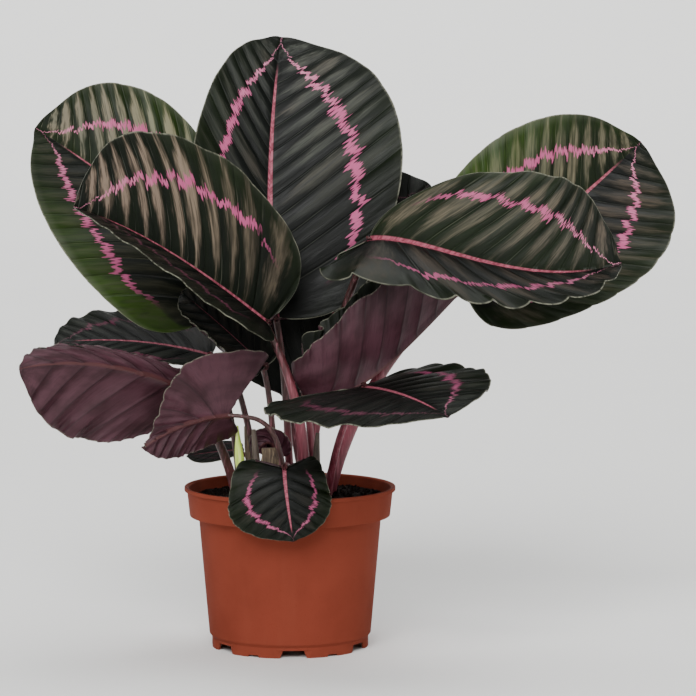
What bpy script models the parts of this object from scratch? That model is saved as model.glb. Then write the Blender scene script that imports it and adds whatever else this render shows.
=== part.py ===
"""Potted calathea: broad dark leaves on petioles, growing in soil in a round nursery pot.

The model is in metres, +Z up.  Every leaf, petiole and pot piece is its own closed solid.  Shapes are
described from the pot's axis at ground level, and the finished plant is then moved so that the middle of
its bounding box stands on the origin.
"""
import math
from typing import NamedTuple

import bmesh
import bpy
import numpy as np
from mathutils import Vector

MM = 0.001
GAP = 0.4 * MM                    # clearance between neighbouring pieces

# Pot
POT_HEIGHT = 91.4 * MM
RIM_RADIUS = 60.0 * MM
LIP_HEIGHT = 2.3 * MM
BAND_TOP_RADIUS = 58.5 * MM
BAND_FOOT_RADIUS = 57.0 * MM
BAND_FOOT_Z = 74.8 * MM
BODY_TOP_RADIUS = 51.9 * MM
BODY_FOOT_RADIUS = 46.0 * MM
BODY_FOOT_Z = 7.7 * MM
FOOT_RADIUS = 44.5 * MM
FOOT_TOP_Z = 5.9 * MM
FOOT_WALL = 1.8 * MM
WALL = 1.3 * MM
FLOOR_Z = 5.4 * MM                # underside of the floor
POT_SEGMENTS = 48

# Foot ring: six feet between six trapezoid notches, each foot with a shallow relief in its middle
FEET = 6
NOTCH_TURN = math.radians(3.4)    # the first notch stands this far round from the front
NOTCH_HEIGHT = 4.4 * MM
NOTCH_HALF_TOP = 5.7 * MM
NOTCH_HALF_FOOT = 8.4 * MM        # a little below the ground
NOTCH_FACET = 43.3 * MM           # distance from the axis of the flat round each notch
FACET_HALF = 12.0 * MM
RELIEF_HALF_TOP = 3.0 * MM
RELIEF_HALF_FOOT = 4.0 * MM
RELIEF_HEIGHT = 1.2 * MM
DRAIN_RADIUS = 4.0 * MM
DRAIN_CIRCLE = 28.0 * MM

# Soil
SOIL_EDGE_Z = 85.0 * MM
SOIL_CROWN = 1.8 * MM
SOIL_SEGMENTS = 32
SOIL_RINGS = 3

# Leaves
BLADE_THICKNESS = 0.9 * MM
BLADE_ROWS = 12                   # from the base of a blade to its tip
BLADE_COLUMNS = 4                 # from the midrib to one margin
VEIN_SWEEP = 0.62                 # how far the side veins lean towards the tip
LOBE_LENGTH = 2.4                 # higher numbers make shorter lobes beside the petiole
STEM_SIDES = 7
STEM_RINGS = 9


class Leaf(NamedTuple):
    """One blade.  The midrib is a cubic Bezier from base to tip, in millimetres from the pot's axis."""
    name: str
    midrib: tuple                 # four control points
    half_widths: tuple            # left and right of the midrib, looking at the upper side, tip ahead
    faces: tuple                  # where the upper side looks, at the base and at the tip
    folds: tuple                  # degrees each half rises from flat at the midrib, left and right
    curls: tuple                  # degrees each half bends further up on its way to the margin
    lobes: tuple = (0.05, 0.05)   # how far each half reaches back past the petiole, as a share of length
    leans: tuple = (0.0, 0.0)     # above 0 each half is widest nearer its base, below 0 nearer its tip
    left_ends: tuple = (0.8, 0.8)   # how pointed the left half's base and tip are: 1 makes an ellipse
    right_ends: tuple = (0.8, 0.8)  # and the right half's
    wave: float = 0.0             # height of the margin's waves, in millimetres
    waves: float = 5.0            # how many waves run along each margin


class Stem(NamedTuple):
    """A petiole, shoot or stub: a cubic Bezier that starts in the soil, in millimetres."""
    name: str
    path: tuple                   # four control points; the last may be the name of the leaf it carries
    radii: tuple                  # spread evenly from the planted end to the far end
    flat: float = 1.0             # depth of its section, front to back, as a share of its width


LEAVES = (
    Leaf("leaf_back_center", ((-8, 10, 186), (-14, 22, 238), (-12, 35, 299), (-6, 62, 343)),
         (47, 76), ((0, -1, 0.1), (0, -0.9, 0.5)), (12, 4), (8, 6), leans=(0.15, -0.1),
         left_ends=(0.8, 0.74), wave=1.0),
    Leaf("leaf_back_left", ((-46, 15, 184), (-58, 28, 236), (-101, 38, 263), (-144, 36, 292)),
         (53, 57), ((0, -1, 0.2), (-0.1, -1, 0.3)), (5, 5), (8, -25), leans=(0.12, -0.4),
         left_ends=(0.65, 1.0), right_ends=(2.2, 0.8), wave=1.0),
    Leaf("leaf_front_left", ((-12, -18, 186), (-45, -32, 214), (-79, -50, 240), (-114, -62, 252)),
         (54, 60), ((0, -0.7, 0.7), (0, -0.7, 0.7)), (40, 42), (-10, -10), leans=(0, -0.15),
         right_ends=(0.75, 0.5), wave=1.0),
    Leaf("leaf_front_right", ((45, -25, 233), (74, -36, 238), (126, -50, 205), (180, -55, 221)),
         (54, 45), ((0, -0.7, 0.7), (0, -0.7, 0.7)), (38, 22), (-8, -6), lobes=(-0.05, 0.22),
         leans=(-0.3, 0.35), left_ends=(0.9, 0.45), right_ends=(0.75, 0.75), wave=1.0),
    Leaf("leaf_back_right", ((98, 5, 204), (132, 18, 224), (172, 28, 258), (198, 22, 284)),
         (57, 57), ((0, -1, 0.1), (0, -1, 0.2)), (6, 6), (-8, -6), leans=(0.05, -0.3),
         right_ends=(0.7, 0.8), wave=1.0),
    Leaf("leaf_middle_right", ((-2, 33, 139), (18, 36, 178), (50, 42, 234), (78, 44, 259)),
         (44, 34), ((0, -1, 0.3), (0, -1, 0.3)), (5, 5), (0, 0), left_ends=(0.5, 0.9),
         right_ends=(0.6, 0.8), wave=1.0),
    Leaf("leaf_cup_right", ((8, -11, 146), (34, -20, 138), (62, -24, 170), (102, -22, 211)),
         (42, 40), ((-0.7, 0.2, 0.65), (-0.7, 0.2, 0.65)), (75, 30), (10, 60), lobes=(0.15, 0.1),
         left_ends=(0.4, 0.8), right_ends=(0.5, 0.8), wave=1.0),
    Leaf("leaf_low_right", ((42, -38, 152), (56, -66, 154), (70, -94, 152), (85, -116, 145)),
         (48, 78), ((0, 0, 1), (0, 0, 1)), (18, -8), (-8, 4), lobes=(0.1, 0.1), wave=1.0),
    Leaf("leaf_low_left", ((-54, -25, 147), (-77, -45, 161), (-109, -62, 172), (-144, -72, 166)),
         (15, 49), ((0, 1, 0.1), (0, 0.9, 0.3)), (10, 5), (110, 10), wave=2.5),
    Leaf("leaf_behind_left", ((-45, 10, 165), (-70, 12, 173), (-105, 8, 176), (-132, 4, 173)),
         (34, 44), ((0, -0.35, 1), (0, -0.25, 1)), (2, 3), (0, 0), lobes=(0, 0),
         right_ends=(0.5, 0.8), wave=1.5),
    Leaf("leaf_small_left", ((-34, -35, 136), (-48, -44, 136), (-64, -54, 132), (-79, -60, 121)),
         (36, 20), ((0, 0.95, 0.3), (0, 0.95, 0.3)), (5, 5), (10, 10), lobes=(0.5, 0.25),
         leans=(0.7, 0.2), left_ends=(0.35, 1.9), wave=1.0),
    Leaf("leaf_over_rim", ((-2, -57, 109), (-2, -64, 103), (0, -68, 88), (3, -66, 70)),
         (24, 33), ((0, -1, 0.2), (0, -1, 0)), (0, 0), (-15, -15), lobes=(0.3, 0.25),
         left_ends=(0.6, 1.1), right_ends=(0.6, 1.35), wave=1.0),
    Leaf("leaf_low_back_left", ((-29, 19, 110), (-38, 23, 109), (-50, 27, 107), (-60, 30, 105)),
         (10, 10), ((0, -0.6, 1), (0, -0.6, 1)), (0, 0), (0, 0), left_ends=(0.8, 1.4),
         right_ends=(0.8, 1.4)),
    Leaf("leaf_inner_cup", ((-14, -4, 160), (-28, -3, 174), (-46, -2, 190), (-60, -2, 201)),
         (28, 20), ((0.3, -0.9, 0.3), (0.3, -0.9, 0.3)), (20, 10), (60, 10), wave=1.0),
    Leaf("leaf_inner_small", ((-6, 1, 108), (-9, -3, 118), (-13, -6, 121), (-19, -8, 112)),
         (10, 10), ((0, 0.6, 0.8), (0, 0.9, 0.2)), (0, 0), (0, 0)),
)

STEMS = (
    Stem("stem_back_center", ((0, 16, 77), (-1, 17, 120), (-3, 14, 160), "leaf_back_center"), (2.6, 1.7)),
    Stem("stem_back_left", ((-17, 15, 77), (-20, 18, 110), (-30, 18, 158), "leaf_back_left"), (2.2, 1.4)),
    Stem("stem_front_left", ((7, -16, 77), (10, -20, 112), (8, -22, 145), "leaf_front_left"), (4.2, 1.7)),
    Stem("stem_front_right", ((8, 10, 77), (12, 12, 125), (28, 15, 195), "leaf_front_right"), (3.4, 1.8)),
    Stem("stem_back_right", ((20, 4, 77), (27, 4, 118), (54, 6, 172), "leaf_back_right"), (4.3, 2.2)),
    Stem("stem_middle_right", ((9, 24, 77), (7, 27, 95), (0, 31, 118), "leaf_middle_right"), (2.4, 1.6)),
    Stem("stem_cup_right", ((14, -6, 77), (14, -7, 100), (12, -8, 125), "leaf_cup_right"), (2.6, 1.8)),
    Stem("stem_low_right", ((21, -8, 77), (22, -10, 105), (32, -24, 140), "leaf_low_right"), (2.4, 1.6)),
    Stem("stem_low_left", ((-28, -6, 77), (-33, -8, 105), (-44, -16, 130), "leaf_low_left"), (3.2, 1.8)),
    Stem("stem_behind_left", ((-28, 8, 77), (-30, 9, 110), (-34, 12, 145), "leaf_behind_left"), (2.2, 1.5)),
    Stem("stem_small_left", ((-2, -30, 77), (-2, -31, 138), (-16, -36, 134), "leaf_small_left"), (2.2, 1.0)),
    Stem("stem_over_rim", ((4, -40, 77), (3, -42, 108), (-1, -50, 115), "leaf_over_rim"), (1.6, 1.1)),
    Stem("stem_low_back_left", ((-20, 22, 77), (-20, 22, 95), (-24, 18, 108), "leaf_low_back_left"),
         (1.5, 1.0)),
    Stem("stem_inner_cup", ((-8, 5, 77), (-9, 6, 110), (-10, 5, 140), "leaf_inner_cup"), (2.2, 1.5)),
    Stem("stem_inner_small", ((1, 2, 77), (0, 3, 92), (-3, 3, 100), "leaf_inner_small"), (1.4, 1.0)),
    Stem("young_shoot", ((-24, -18, 77), (-26, -19, 95), (-29, -20, 112), (-29, -20, 128)),
         (1.6, 2.4, 2.8, 0.5)),
    Stem("shoot_sheath", ((-20, -13, 77), (-21, -13, 95), (-24, -14, 112), (-25, -14, 127)),
         (2.0, 2.2, 1.8, 0.6)),
    Stem("stub_left", ((-15, -20, 77), (-17, -21, 95), (-19, -21, 112), (-20, -21, 126)),
         (2.4, 2.2, 2.2, 1.2)),
    Stem("stub_right", ((15, -22, 77), (15, -22, 95), (15, -21, 112), (16, -21, 124)),
         (2.4, 2.2, 2.2, 1.2)),
    Stem("dry_sheath", ((-9, -25, 77), (-9, -25, 90), (-10, -25, 104), (-10, -25, 116)),
         (2.8, 4.6, 6.4, 5.4), 0.35),
)


def bezier(points, u):
    """Points of a cubic Bezier at the parameters u."""
    p = np.array(points, dtype=float)
    u = np.atleast_1d(u)[:, None]
    v = 1 - u
    return v ** 3 * p[0] + 3 * v * v * u * p[1] + 3 * v * u * u * p[2] + u ** 3 * p[3]


def unit(vectors):
    """The vectors at length one."""
    return vectors / np.linalg.norm(vectors, axis=-1, keepdims=True)


def even_curve(points, samples=200):
    """A Bezier's points and tangents at even steps of length, and its length."""
    u = np.linspace(0, 1, samples)
    curve = bezier(points, u)
    reach = np.concatenate([[0], np.cumsum(np.linalg.norm(np.diff(curve, axis=0), axis=1))])
    even = np.linspace(0, reach[-1], samples)
    curve = bezier(points, np.interp(even, reach, u))
    return curve, unit(np.gradient(curve, axis=0)), reach[-1]


def along(values, a):
    """Read rows of values, spread evenly over 0 to 1, at the shares a, held at both ends."""
    at = np.linspace(0, 1, len(values))
    return np.stack([np.interp(a, at, column) for column in values.T], axis=-1)


def vein_start(reach):
    """Where on the midrib the side vein starts that ends at this share of the blade's length."""
    root = np.linspace(0, 1, 400)
    return np.interp(reach, root ** 2 + VEIN_SWEEP * root * (1 - root ** 2), root ** 2)


def blade_surface(leaf, turn, out, side):
    """Points of a blade's middle surface in millimetres.

    turn runs from 0 at the base to pi at the tip round the outline, out from 0 at the midrib to 1 at the
    margin, and side is 0 for the left half and 1 for the right.
    """
    curve, tangents, length = even_curve(leaf.midrib)
    width = leaf.half_widths[side]
    tip = 0.02
    reach = (1 - np.cos(turn)) / 2
    start = vein_start(reach)
    margin = reach - leaf.lobes[side] * np.sin(np.minimum(LOBE_LENGTH * turn, math.pi))
    margin += tip * np.exp(-((math.pi - turn) / 0.12) ** 2)
    start *= 1 + tip
    a = start + (margin - start) * out ** 1.1
    ends = (leaf.left_ends, leaf.right_ends)[side]
    power = ends[0] + (ends[1] - ends[0]) * reach
    b = width * np.sin(turn + leaf.leans[side] * np.sin(turn)) ** power * out
    point = along(curve, a) + along(tangents, a) * length * (a - np.clip(a, 0, 1))[..., None]
    tangent = along(tangents, a)
    face = along(np.array(leaf.faces, dtype=float), a)
    normal = unit(face - (face * tangent).sum(-1, keepdims=True) * tangent)
    across = np.cross(tangent, normal) * (1 if side else -1)
    fold = math.radians(leaf.folds[side])
    curl = math.radians(leaf.curls[side]) + 1e-4
    angle = fold + curl * b / width
    outward = width / curl * (np.sin(angle) - math.sin(fold))
    upward = width / curl * (math.cos(fold) - np.cos(angle))
    upward += leaf.wave * out ** 2 * np.sin(turn) * np.sin(2 * math.pi * leaf.waves * start + 2 * side)
    return point + across * outward[..., None] + normal * upward[..., None]


def stem_path(stem, samples=40):
    """A stem's centre line in millimetres, ending just under the base of its leaf."""
    points = list(stem.path)
    if isinstance(points[3], str):
        leaf = next(leaf for leaf in LEAVES if leaf.name == points[3])
        base, ahead = (np.array(point, dtype=float) for point in leaf.midrib[:2])
        tangent = unit(ahead - base)
        face = np.array(leaf.faces[0], dtype=float)
        normal = unit(face - (face @ tangent) * tangent)
        points[3] = base - tangent * 0.6 - normal * (stem.radii[1] + 1.0)
    return even_curve(points, samples)[0]


def material(name, colour, roughness):
    """A plain Principled material."""
    made = bpy.data.materials.new(name)
    made.use_nodes = True
    shader = made.node_tree.nodes["Principled BSDF"]
    shader.inputs["Base Color"].default_value = (*colour, 1.0)
    shader.inputs["Roughness"].default_value = roughness
    return made


def add_object(name, bm, finish=None):
    """Put a bmesh into the scene as an object with one material."""
    mesh = bpy.data.meshes.new(name)
    bm.to_mesh(mesh)
    bm.free()
    made = bpy.data.objects.new(name, mesh)
    bpy.context.collection.objects.link(made)
    if finish:
        mesh.materials.append(finish)
        mesh.shade_smooth()
        mesh.set_sharp_from_angle(angle=math.radians(35))
    return made


def cut(target, cutter):
    """Cut a piece with a hidden cutter."""
    cutter.hide_render = True
    cutter.display_type = "WIRE"
    boolean = target.modifiers.new(cutter.name, "BOOLEAN")
    boolean.operation = "DIFFERENCE"
    boolean.object = cutter
    boolean.use_self = True


def turned(profile, segments):
    """A closed round solid from a profile of (radius, height) that begins and ends on the axis."""
    bm = bmesh.new()
    verts = [bm.verts.new((radius, 0, z)) for radius, z in profile]
    edges = [bm.edges.new(pair) for pair in zip(verts, verts[1:])]
    bmesh.ops.spin(bm, geom=verts + edges, cent=(0, 0, 0), axis=(0, 0, 1), angle=math.tau,
                   steps=segments, use_merge=True)
    bmesh.ops.remove_doubles(bm, verts=bm.verts, dist=0.01 * MM)
    bmesh.ops.recalc_face_normals(bm, faces=bm.faces)
    return bm


def around(radius, turn):
    """A point of a level circle, its angle measured round from the front."""
    return Vector((radius * math.sin(turn), -radius * math.cos(turn), 0))


def add_prism(bm, outline, near, far, turn):
    """Add a prism to a bmesh: (sideways, height) points pushed out from the axis, from near to far."""
    outward = around(1, turn)
    sideways = around(1, turn + math.pi / 2)
    rings = []
    for distance in (near, far):
        rings.append([bm.verts.new(outward * distance + sideways * across + Vector((0, 0, z)))
                      for across, z in outline])
    bm.faces.new(rings[0])
    bm.faces.new(rings[1][::-1])
    for i, j in zip(range(len(outline)), [*range(1, len(outline)), 0]):
        bm.faces.new((rings[0][j], rings[0][i], rings[1][i], rings[1][j]))


def foot_cutter(name, outline, near, far, turn):
    """One cutter repeated at the six places round the foot ring."""
    bm = bmesh.new()
    for foot in range(FEET):
        add_prism(bm, outline, near, far, turn + foot * math.tau / FEET)
    bmesh.ops.recalc_face_normals(bm, faces=bm.faces)
    return add_object(name, bm)


def drain_cutter():
    """The round drain holes in the floor."""
    bm = bmesh.new()
    for hole in range(FEET):
        at = around(DRAIN_CIRCLE, NOTCH_TURN + hole * math.tau / FEET)
        made = bmesh.ops.create_cone(bm, cap_ends=True, segments=12, radius1=DRAIN_RADIUS,
                                     radius2=DRAIN_RADIUS, depth=10 * MM)
        bmesh.ops.translate(bm, verts=made["verts"], vec=at + Vector((0, 0, FLOOR_Z)))
    return add_object("drain_cutter", bm)


def build_pot(finish):
    """The nursery pot: a thin turned wall with a stepped band, a lip and six feet."""
    lip_foot = POT_HEIGHT - LIP_HEIGHT
    inside = BAND_TOP_RADIUS - WALL
    profile = [
        (0, FLOOR_Z + WALL), (BODY_FOOT_RADIUS - 3 * MM, FLOOR_Z + WALL),
        (BODY_FOOT_RADIUS - WALL, BODY_FOOT_Z + 0.4 * MM),
        (BODY_TOP_RADIUS - WALL, BAND_FOOT_Z + WALL), (BAND_FOOT_RADIUS - WALL, BAND_FOOT_Z + WALL),
        (inside, POT_HEIGHT - 0.5 * MM), (inside + 0.5 * MM, POT_HEIGHT),
        (RIM_RADIUS - 0.6 * MM, POT_HEIGHT), (RIM_RADIUS, POT_HEIGHT - 0.6 * MM),
        (RIM_RADIUS, lip_foot + 0.5 * MM), (RIM_RADIUS - 0.4 * MM, lip_foot),
        (BAND_TOP_RADIUS, lip_foot), (BAND_FOOT_RADIUS, BAND_FOOT_Z + 0.5 * MM),
        (BAND_FOOT_RADIUS - 0.5 * MM, BAND_FOOT_Z), (BODY_TOP_RADIUS, BAND_FOOT_Z),
        (BODY_FOOT_RADIUS, BODY_FOOT_Z), (FOOT_RADIUS, FOOT_TOP_Z), (FOOT_RADIUS, 0),
        (FOOT_RADIUS - FOOT_WALL, 0), (FOOT_RADIUS - FOOT_WALL, FLOOR_Z), (0, FLOOR_Z),
    ]
    pot = add_object("pot", turned(profile, POT_SEGMENTS), finish)
    below = -2 * MM
    beyond = FOOT_RADIUS + 4 * MM
    notch = [(-NOTCH_HALF_FOOT, below), (NOTCH_HALF_FOOT, below), (NOTCH_HALF_TOP, NOTCH_HEIGHT),
             (-NOTCH_HALF_TOP, NOTCH_HEIGHT)]
    facet = [(-FACET_HALF, below), (FACET_HALF, below), (FACET_HALF, NOTCH_HEIGHT),
             (-FACET_HALF, NOTCH_HEIGHT)]
    relief = [(-RELIEF_HALF_FOOT, below), (RELIEF_HALF_FOOT, below), (RELIEF_HALF_TOP, RELIEF_HEIGHT),
              (-RELIEF_HALF_TOP, RELIEF_HEIGHT)]
    between = NOTCH_TURN + math.pi / FEET
    cut(pot, foot_cutter("facet_cutter", facet, NOTCH_FACET, beyond, NOTCH_TURN))
    cut(pot, foot_cutter("notch_cutter", notch, FOOT_RADIUS - 5 * MM, beyond, NOTCH_TURN))
    cut(pot, foot_cutter("relief_cutter", relief, FOOT_RADIUS - 5 * MM, beyond, between))
    cut(pot, drain_cutter())


def soil_height(radius, turn):
    """The lumpy top of the soil, a little higher in the middle."""
    share = radius / (BAND_TOP_RADIUS - WALL)
    lumps = 0.35 * math.sin(3 * turn + 1) + 0.25 * math.sin(7 * turn + 4 * share)
    return SOIL_EDGE_Z + SOIL_CROWN * (1 - share ** 2) + lumps * share * MM


def build_soil(finish, holes):
    """The potting soil: it fills the pot to just under the rim, with a hole round each planted stem."""
    slope = (BAND_TOP_RADIUS - BAND_FOOT_RADIUS) / (POT_HEIGHT - BAND_FOOT_Z)
    edge = BAND_FOOT_RADIUS - WALL - GAP + slope * (SOIL_EDGE_Z - BAND_FOOT_Z - WALL)
    ledge = BAND_FOOT_Z + WALL + GAP
    profile = [(edge * ring / SOIL_RINGS, SOIL_EDGE_Z) for ring in range(SOIL_RINGS + 1)]
    profile += [(BAND_FOOT_RADIUS - WALL - GAP, ledge), (BODY_TOP_RADIUS - WALL - GAP, ledge),
                (BODY_FOOT_RADIUS - WALL - GAP, BODY_FOOT_Z + 1 * MM),
                (BODY_FOOT_RADIUS - 3.4 * MM, FLOOR_Z + WALL + GAP), (0, FLOOR_Z + WALL + GAP)]
    bm = turned(profile, SOIL_SEGMENTS)
    for vert in bm.verts:
        if vert.co.z > SOIL_EDGE_Z - GAP:
            vert.co.z = soil_height(vert.co.xy.length, math.atan2(vert.co.x, -vert.co.y))
    soil = add_object("potting_soil", bm, finish)
    cut(soil, holes)


def add_tube(bm, path, radii, flat):
    """Add a closed tube of changing radius along a path of points, in metres."""
    tangents = unit(np.gradient(path, axis=0))
    side = unit(np.cross(tangents, (0.2, 1.0, 0.0)))
    front = np.cross(tangents, side)
    rings = []
    for point, radius, across, ahead in zip(path, radii, side, front):
        rings.append([])
        for step in range(STEM_SIDES):
            turn = math.tau * step / STEM_SIDES
            offset = radius * (math.cos(turn) * across + flat * math.sin(turn) * ahead)
            rings[-1].append(bm.verts.new(point + offset))
    for ring, above in zip(rings, rings[1:]):
        for i, j in zip(range(STEM_SIDES), [*range(1, STEM_SIDES), 0]):
            bm.faces.new((ring[i], ring[j], above[j], above[i]))
    bm.faces.new(rings[0])
    bm.faces.new(rings[-1])
    bmesh.ops.recalc_face_normals(bm, faces=bm.faces)


def stem_rings(stem):
    """The middles and radii of a stem's rings, in metres."""
    path = stem_path(stem, STEM_RINGS) * MM
    spread = np.linspace(0, 1, len(stem.radii))
    return path, np.interp(np.linspace(0, 1, STEM_RINGS), spread, stem.radii) * MM


def build_stem(stem, finish):
    """One petiole, shoot or stub, its lower end planted in the soil."""
    bm = bmesh.new()
    add_tube(bm, *stem_rings(stem), stem.flat)
    return add_object(stem.name, bm, finish)


def planting_holes():
    """The cutter that clears a hole in the soil round every planted end."""
    bm = bmesh.new()
    for stem in STEMS:
        path, radii = stem_rings(stem)
        shown = np.count_nonzero(path[:, 2] < POT_HEIGHT) + 2
        path[0] -= GAP * unit(path[1] - path[0])
        flat = (stem.flat * radii[0] + GAP) / (radii[0] + GAP)
        add_tube(bm, path[:shown], radii[:shown] + GAP, flat)
    return add_object("planting_holes", bm)


def build_blade(leaf, finish):
    """One leaf blade: a middle surface from the base point to the tip, given its thickness."""
    turns = np.linspace(0, math.pi, BLADE_ROWS + 1)[1:-1, None]
    outs = np.linspace(0, 1, BLADE_COLUMNS + 1)[None, :]
    grid = [blade_surface(leaf, turns + 0 * outs, outs + 0 * turns, side) * MM for side in (0, 1)]
    rows = np.concatenate([grid[0][:, :0:-1], grid[1]], axis=1)
    ends = [blade_surface(leaf, np.array([turn]), np.zeros(1), 0)[0] * MM for turn in (0, math.pi)]
    bm = bmesh.new()
    base, tip = (bm.verts.new(point) for point in ends)
    verts = [[bm.verts.new(point) for point in row] for row in rows]
    for i in range(2 * BLADE_COLUMNS):
        bm.faces.new((base, verts[0][i + 1], verts[0][i]))
        bm.faces.new((tip, verts[-1][i], verts[-1][i + 1]))
        for row, ahead in zip(verts, verts[1:]):
            bm.faces.new((row[i], row[i + 1], ahead[i + 1], ahead[i]))
    bmesh.ops.recalc_face_normals(bm, faces=bm.faces)
    blade = add_object(leaf.name, bm, finish)
    solidify = blade.modifiers.new("thickness", "SOLIDIFY")
    solidify.thickness = BLADE_THICKNESS
    solidify.offset = 0
    return blade


def stand_on_origin():
    """Parent every piece to one empty that puts the middle of the plant's box over the origin."""
    graph = bpy.context.evaluated_depsgraph_get()
    corners = []
    for piece in bpy.context.scene.objects:
        if piece.type == "MESH" and not piece.hide_render:
            mesh = piece.evaluated_get(graph).to_mesh()
            points = np.empty(len(mesh.vertices) * 3)
            mesh.vertices.foreach_get("co", points)
            points = points.reshape(-1, 3)
            corners += [points.min(axis=0), points.max(axis=0)]
    middle = (np.min(corners, axis=0) + np.max(corners, axis=0)) / 2
    origin = bpy.data.objects.new("plant_origin", None)
    bpy.context.collection.objects.link(origin)
    origin.location = (-middle[0], -middle[1], 0)
    for piece in bpy.context.scene.objects:
        if piece is not origin:
            piece.parent = origin


def main():
    for old in list(bpy.data.objects):
        bpy.data.objects.remove(old)
    blade = material("leaf_blade", (0.02, 0.035, 0.02), 0.45)
    petiole = material("petiole", (0.30, 0.06, 0.08), 0.5)
    build_pot(material("terracotta_plastic", (0.30, 0.06, 0.025), 0.45))
    for leaf in LEAVES:
        build_blade(leaf, blade)
    for stem in STEMS:
        build_stem(stem, petiole)
    build_soil(material("soil", (0.03, 0.018, 0.012), 0.95), planting_holes())
    stand_on_origin()


if __name__ == "__main__":
    main()
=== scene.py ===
import math
from typing import NamedTuple

import bpy
import numpy as np
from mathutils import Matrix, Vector, noise


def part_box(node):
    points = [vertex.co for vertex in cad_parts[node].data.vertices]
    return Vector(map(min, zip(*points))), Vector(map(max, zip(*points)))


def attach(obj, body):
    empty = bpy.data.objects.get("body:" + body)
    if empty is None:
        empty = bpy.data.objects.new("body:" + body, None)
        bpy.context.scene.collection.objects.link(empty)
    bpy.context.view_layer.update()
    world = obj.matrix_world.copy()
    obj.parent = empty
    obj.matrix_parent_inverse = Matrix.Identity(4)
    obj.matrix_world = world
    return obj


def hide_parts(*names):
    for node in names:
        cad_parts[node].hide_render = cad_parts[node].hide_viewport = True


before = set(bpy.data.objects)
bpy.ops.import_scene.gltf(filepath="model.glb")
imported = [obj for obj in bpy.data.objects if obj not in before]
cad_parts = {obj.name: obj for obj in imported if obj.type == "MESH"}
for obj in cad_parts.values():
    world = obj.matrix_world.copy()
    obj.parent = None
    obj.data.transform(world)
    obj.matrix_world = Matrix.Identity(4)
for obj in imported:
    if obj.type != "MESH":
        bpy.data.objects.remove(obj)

bl_info = {
    "name": "Potted Calathea",
    "version": (1, 0, 0),
    "blender": (4, 5, 0),
    "location": "View3D > Sidebar > Calathea",
    "description": "A calathea with broad patterned leaves in a round nursery pot",
    "category": "Object",
}

MM = 0.001
POT_LOW, POT_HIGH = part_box("pot")
AXIS = Vector(((POT_LOW.x + POT_HIGH.x) / 2, (POT_LOW.y + POT_HIGH.y) / 2, 0))
RIM_RADIUS = (POT_HIGH.x - POT_LOW.x) / 2
POT_HEIGHT = POT_HIGH.z


class Leaf(NamedTuple):
    """The form of one blade, in millimetres from the pot's axis. Left and right look at the upper side."""
    name: str
    midrib: tuple                   # four control points of a Bezier from base to tip
    half_widths: tuple              # left, right
    faces: tuple                    # where the upper side looks, at the base and at the tip
    folds: tuple                    # degrees each half rises from flat at the midrib
    curls: tuple                    # degrees each half bends further up towards the margin
    lobes: tuple = (0.05, 0.05)     # reach of each half back past the petiole, as a share of length
    leans: tuple = (0.0, 0.0)       # above 0 each half is widest nearer its base
    left_ends: tuple = (0.8, 0.8)   # how pointed the left half's base and tip are
    right_ends: tuple = (0.8, 0.8)
    wave: float = 0.0               # height of the margin's waves
    waves: float = 5.0


class Look(NamedTuple):
    """The markings of one blade."""
    veins: int = 12                 # side veins on each half
    outer: tuple = (0.1, 0.1)       # how green rather than blackish each half is outside the ring
    inner: tuple = (0.0, 0.0)       # the same inside the ring
    streaks: tuple = (0.5, 0.5)     # strength of the pale feathering on each half, partly painted sheen
    ring: tuple = (1.0, 1.0)        # strength of the pink ring on each half
    fade: float = 0.3               # how much the feathering dims towards the base, partly painted shade, and the strength of the painted shade on the ground there
    warmth: float = 0.5             # tan feathering at 1, grey at 0; the grey stands partly for painted sheen
    rib: float = 1.0                # width of the pink midrib
    pleat: float = 0.9              # depth of the pleats between side veins, in millimetres
    ruffle: tuple = (0.6, 0.6)      # height of the scallops on each half's margin in millimetres, below 0
                                    # where they bend to the lower side
    scallops: float = 9.0           # how many of them each half has


class Stem(NamedTuple):
    """The run of one petiole: a Bezier from the soil, in millimetres from the pot's axis."""
    name: str
    path: tuple                     # four control points; the last may be the name of the leaf it carries
    radii: tuple
    tone: float = 0.5               # 0 is brown, 1 is pink


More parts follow.
